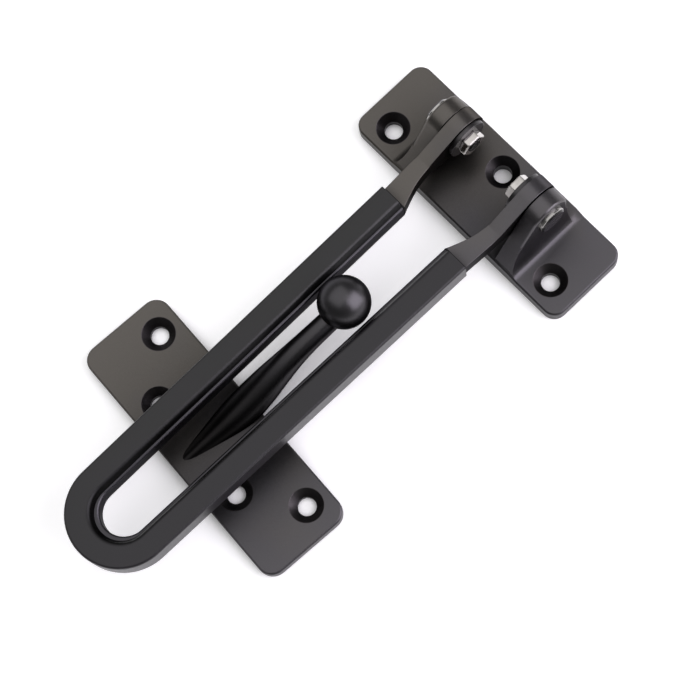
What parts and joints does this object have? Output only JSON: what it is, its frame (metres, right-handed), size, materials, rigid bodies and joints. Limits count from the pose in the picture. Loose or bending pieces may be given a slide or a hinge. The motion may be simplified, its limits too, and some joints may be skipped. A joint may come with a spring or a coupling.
{
  "type": "swing bar door guard",
  "caption": "Swing bar door guard: a slotted U bar hinged on an eared plate swings over a ball that stands on a leaning arm from a second screw-on plate.",
  "frame": {"origin": "middle of the hinge plate's back face", "axes": "+X along the hinge axis, +Y from the loop towards the hinge, +Z out of the door, away from both plates' back faces"},
  "size_m": [0.0756, 0.1458, 0.0256],
  "materials": {
    "gunmetal": "satin gunmetal coat over a casting",
    "nickel": "bright nickel plate on steel",
    "sleeve": "smooth dark grey channel sleeve",
    "black": "gloss black coat over a casting"
  },
  "bodies": {
    "plates": {"hinge_plate": "gunmetal", "pivot_bolts": "nickel", "pivot_washers": "nickel", "pivot_nuts": "nickel", "ball_plate": "gunmetal", "ball_arm": "black"},
    "bar": {"swing_bar": "gunmetal", "bar_sleeve": "sleeve"}
  },
  "joints": [
    {"name": "bar_swing", "type": "hinge", "parent": "plates", "child": "bar", "pos_m": [0, 0.003, 0.016], "axis": [-1, 0, 0], "range_deg": [-4, 180]}
  ]
}
